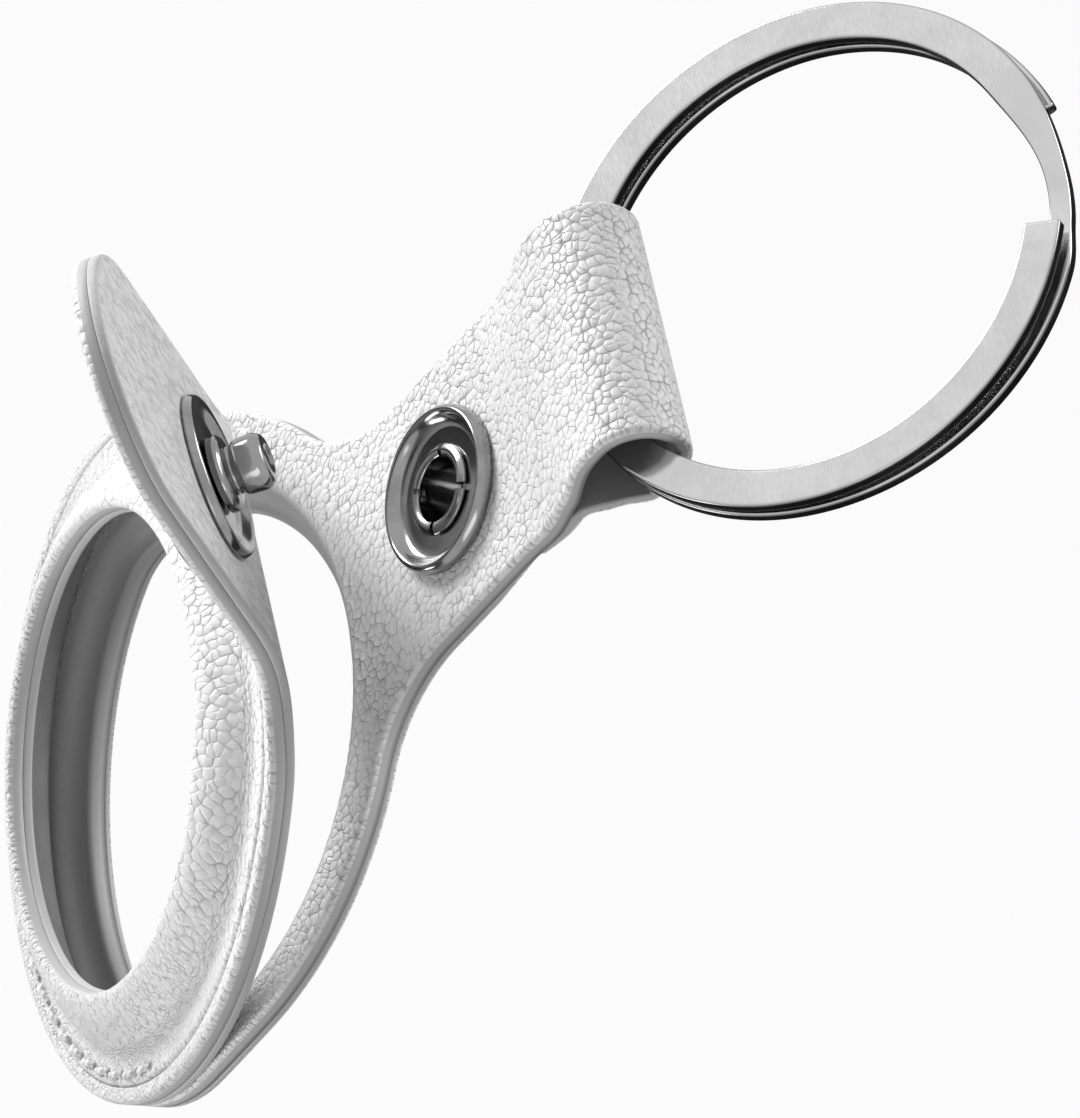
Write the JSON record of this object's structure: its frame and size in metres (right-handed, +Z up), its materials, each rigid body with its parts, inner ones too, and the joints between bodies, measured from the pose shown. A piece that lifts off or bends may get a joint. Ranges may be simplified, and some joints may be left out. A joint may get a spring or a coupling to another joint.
{
  "type": "tracker tag keychain",
  "caption": "Leather holder for a round tracker tag: two-sided ring pocket, strap with snap tab, and a split key ring through the strap's loop.",
  "frame": {"origin": "top of the split ring's inner edge, where a hook or finger holds the hanging keychain", "axes": "+Z up while it hangs, -Y towards the side that the snap tab opens to, +X across the strap"},
  "size_m": [0.041, 0.0473, 0.0889],
  "materials": {
    "leather": "pebbled, semi-matt, with smooth painted edges",
    "lining": "smooth, matt",
    "thread": "matt",
    "gunmetal": "dark polished plating",
    "nickel": "polished nickel plating"
  },
  "bodies": {
    "key_ring": {"key_ring": "nickel"},
    "strap": {"strap_leather": "leather", "strap_backing": "leather", "socket_dish": "gunmetal", "socket_collar": "gunmetal", "socket_cap": "gunmetal"},
    "pocket": {"front_leather": "leather", "front_lining": "lining", "foot_leather": "leather", "foot_backing": "leather", "top_thread": "thread", "bobbin_thread": "thread"},
    "tab": {"tab_leather": "leather", "tab_lining": "lining", "stud_dish": "gunmetal", "stud_post": "gunmetal", "stud_cap": "gunmetal"}
  },
  "joints": [
    {"name": "strap_swing", "type": "hinge", "parent": "key_ring", "child": "strap", "pos_m": [0, -0.00654, -0.02643], "axis": [1, 0, 0], "range_deg": [-64, 4]},
    {"name": "pocket_flex", "type": "hinge", "parent": "strap", "child": "pocket", "pos_m": [0, 0.00197, -0.06866], "axis": [1, 0, 0], "range_deg": [-16.5, 13.5]},
    {"name": "tab_bend", "type": "hinge", "parent": "pocket", "child": "tab", "pos_m": [0, -0.01063, -0.05085], "axis": [1, 0, 0], "range_deg": [-36, 35]}
  ]
}
